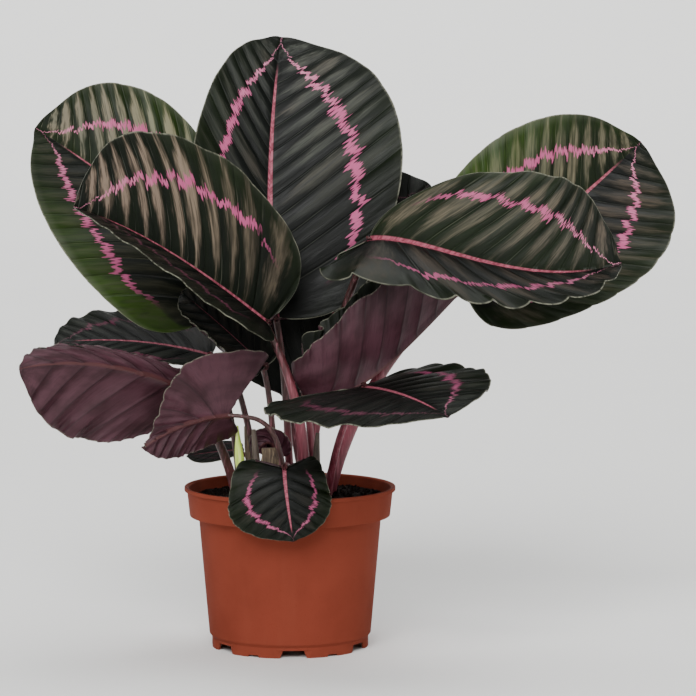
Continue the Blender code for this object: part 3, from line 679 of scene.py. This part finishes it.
def begin():
    """Select nothing, so that the next operator acts on its own piece alone."""
    bpy.ops.object.select_all(action="DESELECT")


def weld_and_smooth(angle=60):
    """Merge doubled points of the new piece and shade it smooth."""
    bpy.ops.object.mode_set(mode="EDIT")
    bpy.ops.mesh.select_all(action="SELECT")
    bpy.ops.mesh.remove_doubles(threshold=1e-6)
    bpy.ops.mesh.normals_make_consistent(inside=False)
    bpy.ops.object.mode_set(mode="OBJECT")
    bpy.ops.object.shade_smooth_by_angle(angle=math.radians(angle))


def set_map(mesh, name, values):
    """Give a mesh a UV map from one pair of numbers per vertex."""
    layer = mesh.uv_layers.get(name) or mesh.uv_layers.new(name=name)
    corners = np.zeros(len(mesh.loops), dtype=np.int32)
    mesh.loops.foreach_get("vertex_index", corners)
    layer.data.foreach_set("uv", values[corners].astype(np.float32).ravel())


INNER = 0.012                       # turn kept clear of base and tip, where the surface has no direction
RIB_SPREAD = 1.5                    # millimetres over which the midrib thins out to the blade


def pleated_surface(leaf, look, turn, across):
    """A blade's points in millimetres with pleats and scallops, their place along the midrib and distance
    from it."""
    points, start, b = blade_surface(leaf, turn, across)
    smooth, _, _ = blade_surface(leaf, np.clip(turn, INNER, math.pi - INNER), across)
    sideways = np.gradient(smooth, axis=1)
    normals = np.cross(sideways, np.gradient(smooth, axis=0))
    normals = normals / np.maximum(np.linalg.norm(normals, axis=-1, keepdims=True), 1e-9)
    height = relief(look, start, b, across, turn)
    outward = unit(sideways) * np.sign(across)[..., None]
    bulge = bulge_at(look, across, turn) * np.sin(turn).clip(0) ** 0.5 * np.abs(across) ** 8
    reach = 0.9 * np.abs(of_half(across, look.ruffle)) * bulge
    return points + normals * height[..., None] + outward * reach[..., None], start, b


def thicken(blade, leaf_set, start, b):
    """Give a blade its thickness on the lower side, greatest along the midrib and less towards the tip."""
    rib = blade.vertex_groups.new(name="rib")
    slim = leaf_set.thickness / leaf_set.rib
    weight = slim + (1 - slim) * np.exp(-(b / RIB_SPREAD) ** 2) * np.clip(1.15 - start, 0.1, 1)
    for index, value in enumerate(weight.ravel()):
        rib.add([index], float(value), "REPLACE")
    bpy.ops.object.mode_set(mode="EDIT")
    bpy.ops.mesh.select_all(action="SELECT")
    bpy.ops.mesh.remove_doubles(threshold=1e-7)
    bpy.ops.object.mode_set(mode="OBJECT")
    solid = blade.modifiers.new("thickness", "SOLIDIFY")
    solid.thickness = leaf_set.rib
    solid.offset = -1
    solid.vertex_group = rib.name
    solid.material_offset = 1
    solid.material_offset_rim = 0
    bpy.ops.object.modifier_apply(modifier=solid.name)


def make_blade(leaf, look, leaf_set, seed):
    """One blade: a grid shaped over its middle surface, with pleats, then given its thickness."""
    begin()
    rows, columns = leaf_set.rows, 2 * leaf_set.columns
    bpy.ops.mesh.primitive_grid_add(x_subdivisions=columns, y_subdivisions=rows, size=2)
    blade = bpy.context.active_object
    blade.name = blade.data.name = leaf.name.replace("leaf", "blade")
    mesh = blade.data
    flat = np.zeros(len(mesh.vertices) * 3)
    mesh.vertices.foreach_get("co", flat)
    flat = flat.reshape(rows + 1, columns + 1, 3)
    across = np.sign(flat[..., 0]) * np.abs(flat[..., 0]) ** 0.85
    turn = (flat[..., 1] + 1) / 2 * math.pi
    points, start, b = pleated_surface(leaf, look, turn, across)
    placed = points.reshape(-1, 3) * MM + np.array(AXIS)
    mesh.vertices.foreach_set("co", placed.ravel())
    set_map(mesh, "blade", np.stack([across / 2 + 0.5, start], -1).reshape(-1, 2))
    set_map(mesh, "span", np.stack([b / SPAN, start], -1).reshape(-1, 2))
    for layer in [layer for layer in mesh.uv_layers if layer.name not in ("blade", "span")]:
        mesh.uv_layers.remove(layer)
    mesh.materials.append(upper_material(blade.name + "_upper", look, leaf_set, seed))
    mesh.materials.append(under_material(blade.name + "_under", look, leaf_set, seed))
    thicken(blade, leaf_set, start, b)
    bpy.ops.object.shade_smooth_by_angle(angle=math.radians(70))
    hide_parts(leaf.name)
    settle(blade)


# Stalks

def stem_points(stem):
    """A stalk's control points in millimetres, the last just inside its leaf's base, below the midrib."""
    points = [np.array(point, dtype=float) for point in stem.path[:3]]
    if isinstance(stem.path[3], str):
        leaf = next(leaf for leaf in LEAVES if leaf.name == stem.path[3])
        base, ahead = (np.array(point, dtype=float) for point in leaf.midrib[:2])
        tangent = unit(ahead - base)
        face = np.array(leaf.faces[0], dtype=float)
        normal = unit(face - (face @ tangent) * tangent)
        points.append(base + tangent * 1.5 - normal * (0.6 * stem.radii[-1] + 0.3))
    else:
        points.append(np.array(stem.path[3], dtype=float))
    return points


SWELL_FROM = 0.93                   # share of a petiole's length after which it swells to meet its leaf


def make_tube(name, points, radii, swell=1.0, knots=9):
    """A tube along a Bezier with changing radius, its ends closed."""
    begin()
    bpy.ops.curve.primitive_bezier_curve_add(location=(0, 0, 0))
    tube = bpy.context.active_object
    tube.name = name
    curve = tube.data
    spline = curve.splines[0]
    spline.bezier_points.add(knots - 2)
    centre, _, _ = even_curve(points, knots)
    spread = np.linspace(0, 1, len(radii))
    for knot, at, place in zip(spline.bezier_points, np.linspace(0, 1, knots), centre):
        knot.handle_left_type = knot.handle_right_type = "AUTO"
        knot.co = Vector(place) * MM + AXIS
        knot.radius = float(np.interp(at, spread, radii)) * (swell if at > SWELL_FROM else 1)
    curve.dimensions = "3D"
    curve.bevel_mode = "ROUND"
    curve.bevel_depth = MM
    curve.bevel_resolution = 5
    curve.resolution_u = 6
    curve.use_fill_caps = True
    bpy.ops.object.convert(target="MESH")
    weld_and_smooth()
    return tube


def petiole_material(name, tone, stalks, seed):
    """Pink to brown skin, streaked lengthwise, browner higher up as painted shade."""
    made, shader, place = new_material(name)
    long = place.node("Mapping", {"Vector": place, "Scale": (900, 900, 60), "Location": (seed, 0, 0)})
    streaks = grain(long, 1.0, 3.0)
    blotches = grain(place, 90.0, 3.0)
    height = place.node("SeparateXYZ", {0: place}, output=2)
    # Browner higher up is painted shade; tone and blotches are the stalk's own colour
    pinker = rise(blotches * 0.5 + tone - 0.25 - (height - 0.1) * 9, 0.1, 0.6)
    base = blend(pinker, stalks.brown, stalks.pink)
    base = blend(rise(streaks, 0.5, 0.75, 0.0, 0.45), base, stalks.pale)
    base = blend(rise(streaks, 0.48, 0.3, 0.0, 0.5), base, stalks.dark)
    finish_material(shader, base, rise(streaks, 0.3, 0.7, 0.35, 0.5), streaks, 0.0003)
    return made


def plain_material(name, shades, scale, roughness, depth=0.0003):
    """Three shades through lengthwise grain."""
    made, shader, place = new_material(name)
    long = place.node("Mapping", {"Vector": place, "Scale": scale})
    streaks = grain(long, 1.0, 4.0)
    base = streaks.node("ValToRGB", {0: streaks}, stops=list(zip((0.3, 0.5, 0.7), shades)))
    finish_material(shader, base, roughness, streaks, depth)
    return made


# Operators

def ring_of(profile, steps, name):
    """A turned solid: a loop of points spun round the pot's axis."""
    begin()
    bpy.ops.mesh.primitive_circle_add(vertices=len(profile), radius=1, fill_type="NOTHING")
    piece = bpy.context.active_object
    piece.name = name
    for vert, (radius, z) in zip(piece.data.vertices, profile):
        vert.co = AXIS + Vector((radius, 0, z))
    bpy.ops.object.mode_set(mode="EDIT")
    bpy.ops.mesh.select_all(action="SELECT")
    bpy.ops.mesh.spin(steps=steps, angle=math.tau, center=AXIS, axis=(0, 0, 1))
    bpy.ops.object.mode_set(mode="OBJECT")
    weld_and_smooth(40)
    return piece


def rounded(profile, radius, steps=3):
    """A profile whose inner corners are rounded off."""
    made = [profile[0]]
    for before, corner, after in zip(profile, profile[1:], profile[2:]):
        c = np.array(corner)
        arms = [np.array(p) - c for p in (before, after)]
        cut = min([radius] + [np.linalg.norm(arm) * 0.45 for arm in arms])
        ends = [c + arm / np.linalg.norm(arm) * cut for arm in arms]
        for t in np.linspace(0, 1, steps + 1):
            made.append(tuple((1 - t) ** 2 * ends[0] + 2 * t * (1 - t) * c + t * t * ends[1]))
    return made + [profile[-1]]


def cut_away(piece, cutter):
    """Cut a piece with a mesh that is then removed."""
    begin()
    bpy.context.view_layer.objects.active = piece
    boolean = piece.modifiers.new("cut", "BOOLEAN")
    boolean.object = cutter
    boolean.solver = "EXACT"
    bpy.ops.object.modifier_apply(modifier=boolean.name)
    bpy.data.objects.remove(cutter)


def add_block(near, far, half_foot, half_top, top, turn):
    """A wedge-shaped block that points out from the pot's axis, for cutting the foot ring."""
    begin()
    bpy.ops.mesh.primitive_cube_add(size=1)
    block = bpy.context.active_object
    outward = Vector((math.sin(turn), -math.cos(turn), 0))
    sideways = -Vector((math.cos(turn), math.sin(turn), 0))
    for vert in block.data.vertices:
        x, y, z = vert.co
        half = half_top if z > 0 else half_foot
        spot = outward * (far if y > 0 else near) + sideways * (2 * x * half)
        vert.co = AXIS + spot + Vector((0, 0, top if z > 0 else -0.002))
    return block


def pot_material(pot_set):
    """Satin terracotta-coloured plastic with faint flow marks and dust."""
    made, shader, place = new_material("pot_plastic")
    flow = place.node("Mapping", {"Vector": place, "Scale": (60, 60, 6)})
    marks = grain(flow, 1.0, 3.0)
    specks = grain(place, 1500.0, 2.0)
    cloud = grain(place, 28.0, 4.0)
    base = blend(rise(cloud, 0.35, 0.7, 0.0, 0.35), pot_set.body, pot_set.shade)
    base = blend(rise(marks, 0.5, 0.75, 0.0, 0.25), base, pot_set.scuff)
    base = blend(rise(specks, 0.62, 0.75, 0.0, 0.3), base, pot_set.speck)
    finish_material(shader, base, rise(cloud + specks * 0.3, 0.4, 0.9, 0.5, 0.65), specks, 0.00004,
                    Specular_IOR_Level=0.01)
    return made


FEET = 6
FIRST_NOTCH = 3.4                   # degrees from the front
FOOT_CUTS = (                       # near, far, half width at the foot and above, height, degrees on
    (0.0433, 0.050, 0.0120, 0.0120, 0.0044, 0),     # shallow recess round each notch
    (0.0395, 0.050, 0.0084, 0.0057, 0.0044, 0),     # notch through the foot ring
    (0.0395, 0.050, 0.0040, 0.0030, 0.0012, 30),    # low arch under the middle of each foot
)
DRAIN_RING = 0.028
DRAIN_RADIUS = 0.004


class CALATHEA_OT_pot(bpy.types.Operator):
    """Make the nursery pot"""
    bl_idname = "calathea.pot"
    bl_label = "Pot"

    def execute(self, context):
        pot_set = context.scene.calathea_pot
        rim, top, wall = pot_set.radius, pot_set.height, pot_set.wall
        outside = [(rim - 0.0012, top), (rim, top - 0.0001), (rim, top - 0.0022),       # lip
                   (rim - 0.0004, top - 0.0023), (rim - 0.0015, top - 0.0024),
                   (rim - 0.003, 0.0753), (rim - 0.0031, 0.0748), (0.0519, 0.0748),     # band
                   (0.0460, 0.0077), (0.0445, 0.0059), (0.0445, 0.0)]                   # wall and foot
        inside = [(0.0427, 0.0), (0.0427, 0.0054), (0, 0.0054),                         # under the floor
                  (0, 0.0067), (0.0430, 0.0067), (0.0447, 0.0085), (0.0506, 0.0761),    # inner wall
                  (rim - 0.0031 - wall, 0.0761),                                        # inside of the band
                  (rim - 0.0015 - wall, top - 0.0006), (rim - 0.0012, top)]
        pot = ring_of(rounded(outside, 0.0004) + rounded(inside, 0.0004)[:-1], 192, "nursery_pot")
        for foot in range(FEET):
            turn = math.radians(FIRST_NOTCH + 360 / FEET * foot)
            for *sizes, onward in FOOT_CUTS:
                cut_away(pot, add_block(*sizes, turn + math.radians(onward)))
            begin()
            hole = AXIS + DRAIN_RING * Vector((math.sin(turn), -math.cos(turn), 0)) + Vector((0, 0, 0.006))
            bpy.ops.mesh.primitive_cylinder_add(vertices=40, radius=DRAIN_RADIUS, depth=0.01)
            drain = bpy.context.active_object
            for vert in drain.data.vertices:
                vert.co += hole
            cut_away(pot, drain)
        bpy.context.view_layer.objects.active = pot
        pot.select_set(True)
        bpy.ops.object.shade_smooth_by_angle(angle=math.radians(32))
        pot.data.materials.clear()
        pot.data.materials.append(pot_material(pot_set))
        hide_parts("pot")
        settle(pot)
        return {"FINISHED"}


def soil_material(soil_set):
    """Dark peat with lighter fibres."""
    made, shader, place = new_material("soil")
    lumps = grain(place, 420.0, 5.0, 0.7)
    threads = grain(place.node("Mapping", {"Vector": place, "Scale": (300, 1400, 500)}), 1.0, 4.0, 0.7)
    # Darker in the hollows between the lumps
    base = blend(rise(lumps, 0.35, 0.7), soil_set.hollow_peat, soil_set.peat)
    base = blend(rise(threads, 0.6, 0.72, 0.0, 0.7), base, soil_set.fibre)
    finish_material(shader, base, 0.95, lumps + threads * 0.4, 0.0009, Specular_IOR_Level=0.1)
    return made


SOIL_EDGE = 0.0562
SOIL_LEVEL = 0.085                  # height of the soil where it meets the pot
SOIL_CROWN = 0.0018                 # how much higher it is in the middle


def soil_top(x, y):
    """Height of the lumpy soil at a place from the pot's axis, in metres."""
    radius = math.hypot(x, y)
    lump = noise.noise(Vector((x * 160, y * 160, 1.7))) * 0.0006
    lump += noise.noise(Vector((x * 520, y * 520, 4.2))) * 0.0005
    return SOIL_LEVEL + SOIL_CROWN * (1 - (radius / 0.0572) ** 2) + lump


class CALATHEA_OT_soil(bpy.types.Operator):
    """Make the soil and the loose crumbs on it"""
    bl_idname = "calathea.soil"
    bl_label = "Soil"

    def execute(self, context):
        soil_set = context.scene.calathea_soil
        profile = [(SOIL_EDGE * part, SOIL_LEVEL) for part in np.linspace(0, 1, 60)]
        profile += [(0.0553, 0.0766), (0.0502, 0.0766), (0.0443, 0.0088), (0.0426, 0.0071), (0, 0.0071)]
        soil = ring_of(profile, 220, "peat")
        for vert in soil.data.vertices:
            if vert.co.z > SOIL_LEVEL - 0.001:
                vert.co.z = soil_top(vert.co.x - AXIS.x, vert.co.y - AXIS.y)
        finish = soil_material(soil_set)
        soil.data.materials.append(finish)
        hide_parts("potting_soil")
        settle(soil)
        self.crumbs(soil_set, finish)
        return {"FINISHED"}

    def crumbs(self, soil_set, finish):
        """Crumbs of peat, one lump copied many times, each with its own size and turn."""
        begin()
        bpy.ops.mesh.primitive_ico_sphere_add(subdivisions=2, radius=1)
        lump = bpy.context.active_object
        shape = np.array([v.co for v in lump.data.vertices])
        faces = np.array([p.vertices[:] for p in lump.data.polygons])
        bpy.data.objects.remove(lump)
        rng = np.random.default_rng(11)
        points, corners = [], []
        for number in range(soil_set.crumbs):
            radius = 0.0545 * math.sqrt(rng.uniform(0, 1))
            turn = rng.uniform(0, math.tau)
            x, y = radius * math.cos(turn), radius * math.sin(turn)
            size = soil_set.crumb * rng.uniform(0.4, 1.5)
            rough = 1 + 0.22 * rng.standard_normal(len(shape))[:, None].clip(-1.5, 1.5)
            spin = np.linalg.qr(rng.standard_normal((3, 3)))[0]
            spin[0] *= np.sign(np.linalg.det(spin))
            stretch = size * rng.uniform(0.6, 1.2, 3)
            place = np.array([x, y, soil_top(x, y) + size * 0.25]) + np.array(AXIS)
            corners.append(faces + number * len(shape))
            points.append((shape * rough * stretch) @ spin.T + place)
        begin()
        bpy.ops.mesh.primitive_plane_add()
        crumbs = bpy.context.active_object
        crumbs.name = "peat_crumbs"
        crumbs.data.clear_geometry()
        crumbs.data.from_pydata(np.concatenate(points).tolist(), [], np.concatenate(corners).tolist())
        bpy.ops.object.shade_smooth_by_angle(angle=math.radians(50))
        crumbs.data.materials.append(finish)
        settle(crumbs)


class CALATHEA_OT_leaves(bpy.types.Operator):
    """Make every blade"""
    bl_idname = "calathea.leaves"
    bl_label = "Leaves"

    def execute(self, context):
        leaf_set = context.scene.calathea_leaf
        for number, leaf in enumerate(LEAVES):
            make_blade(leaf, LOOKS[leaf.name], leaf_set, 3.7 * number)
        return {"FINISHED"}


class CALATHEA_OT_petioles(bpy.types.Operator):
    """Make the petioles"""
    bl_idname = "calathea.petioles"
    bl_label = "Petioles"

    def execute(self, context):
        stalks = context.scene.calathea_stalk
        for number, stem in enumerate(stem for stem in STEMS if stem.name.startswith("stem_")):
            name = stem.name.replace("stem", "petiole")
            tube = make_tube(name, stem_points(stem), stem.radii, 1.15)
            tube.data.materials.append(petiole_material(name, stem.tone, stalks, number * 5.1))
            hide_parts(stem.name)
            settle(tube)
        return {"FINISHED"}


class CALATHEA_OT_shoots(bpy.types.Operator):
    """Make the young shoot, its sheath, the old stubs and the dry sheath"""
    bl_idname = "calathea.shoots"
    bl_label = "Shoots and stubs"

    def execute(self, context):
        stalks = context.scene.calathea_stalk
        husk = plain_material("husk", (stalks.husk_dark, stalks.husk, stalks.husk_pale),
                              (1100, 1100, 90), 0.7)
        stub = plain_material("stub", (stalks.stub_dark, stalks.stub, stalks.stub_pale),
                              (500, 500, 60), 0.6, 0.0002)
        green = plain_material("young_shoot", (stalks.shoot_green, stalks.shoot, stalks.shoot_pale),
                               (700, 700, 30), 0.4, 0.0001)
        finishes = {"young_shoot": (green, "shoot"), "shoot_sheath": (husk, "sheath"),
                    "stub_left": (stub, "stub"), "stub_right": (stub, "stub"),
                    "dry_sheath": (husk, "sheath")}
        for stem in STEMS:
            if stem.name in finishes:
                finish, slot = finishes[stem.name]
                piece = make_tube(stem.name + "_skin", stem_points(stem), stem.radii)
                if stem.name == "dry_sheath":
                    self.crumple(piece)
                piece.data.materials.append(finish)
                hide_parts(stem.name)
                settle(piece)
        return {"FINISHED"}

    def crumple(self, piece):
        """Press the sheath flat and crease it."""
        depth = np.mean([v.co.y for v in piece.data.vertices])
        for vert in piece.data.vertices:
            crease = noise.noise(Vector((vert.co.x * 420, 0.3, vert.co.z * 160))) * 0.0011
            vert.co.y = depth + (vert.co.y - depth) * 0.35 + crease
            vert.co.x += noise.noise(Vector((2.1, vert.co.z * 260, vert.co.x * 90))) * 0.0008


CAMERA_PLACE = (0.033, -1.8, 0.335)     # from the foot of the pot's axis
CAMERA_TILT = 5.24                  # degrees down from level
LIGHTS = (                          # name, where it shines from, degrees of spread, share of the key light
    ("key", (-0.25, -1.4, 1.0), 35, 1.0),
    ("top", (0.1, 0.3, 1.6), 50, 0.55),
)
FLAT_SHARE = 0.45                   # share of the floor's half width that stays level


class CALATHEA_OT_stage(bpy.types.Operator):
    """Make the floor, the lights and the camera"""
    bl_idname = "calathea.stage"
    bl_label = "Stage"

    def execute(self, context):
        stage = context.scene.calathea_stage
        begin()
        bpy.ops.mesh.primitive_grid_add(x_subdivisions=90, y_subdivisions=90, size=2 * stage.floor)
        floor = bpy.context.active_object
        floor.name = "floor"
        for vert in floor.data.vertices:
            away = max(0.0, vert.co.xy.length / stage.floor - FLAT_SHARE) / (1 - FLAT_SHARE)
            vert.co.z = stage.sweep * min(away, 1.3) ** 2
        bpy.ops.object.shade_smooth()
        paper, shader, place = new_material("pale_floor")
        tone = grain(place, 3.0, 2.0)
        base = blend(rise(tone, 0.3, 0.7, 0.0, 0.15), stage.pale, stage.tint)
        finish_material(shader, base, 0.9)
        floor.data.materials.append(paper)
        world = bpy.data.worlds.new("studio")
        world.use_nodes = True
        sky = world.node_tree.nodes["Background"]
        sky.inputs["Color"].default_value = (1, 1, 1, 1)
        sky.inputs["Strength"].default_value = stage.sky
        context.scene.world = world
        for name, place, spread, power in LIGHTS:
            begin()
            aim = Vector(place).to_track_quat("Z", "Y").to_euler()
            bpy.ops.object.light_add(type="SUN", location=AXIS + Vector(place), rotation=aim)
            light = bpy.context.active_object
            light.name = name
            light.data.angle = math.radians(spread)
            light.data.energy = stage.key * power
        begin()
        bpy.ops.object.camera_add(location=AXIS + Vector(CAMERA_PLACE),
                                  rotation=(math.radians(90 - CAMERA_TILT), 0, 0))
        camera = bpy.context.active_object
        camera.data.lens = stage.lens
        camera.data.clip_end = 100
        context.scene.camera = camera
        return {"FINISHED"}


class CALATHEA_PT_panel(bpy.types.Panel):
    """The plant's pieces, in the sidebar"""
    bl_label = "Potted Calathea"
    bl_space_type = "VIEW_3D"
    bl_region_type = "UI"
    bl_category = "Calathea"

    def draw(self, context):
        for operator in OPERATORS:
            self.layout.operator(operator.bl_idname)


SETTINGS = {
    "calathea_leaf": CalatheaLeafSettings,
    "calathea_stalk": CalatheaStalkSettings,
    "calathea_pot": CalatheaPotSettings,
    "calathea_soil": CalatheaSoilSettings,
    "calathea_stage": CalatheaStageSettings,
}
OPERATORS = (CALATHEA_OT_pot, CALATHEA_OT_soil, CALATHEA_OT_leaves, CALATHEA_OT_petioles,
             CALATHEA_OT_shoots, CALATHEA_OT_stage)


def register():
    for group in SETTINGS.values():
        bpy.utils.register_class(group)
    for name, group in SETTINGS.items():
        setattr(bpy.types.Scene, name, bpy.props.PointerProperty(type=group))
    for made in (*OPERATORS, CALATHEA_PT_panel):
        bpy.utils.register_class(made)


def unregister():
    for made in (CALATHEA_PT_panel, *reversed(OPERATORS)):
        bpy.utils.unregister_class(made)
    for name, group in SETTINGS.items():
        delattr(bpy.types.Scene, name)
        bpy.utils.unregister_class(group)


def main():
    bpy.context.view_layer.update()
    register()
    begin()
    bpy.ops.calathea.pot()
    bpy.ops.calathea.soil()
    bpy.ops.calathea.leaves()
    bpy.ops.calathea.petioles()
    bpy.ops.calathea.shoots()
    bpy.ops.calathea.stage()


if __name__ == "__main__":
    main()
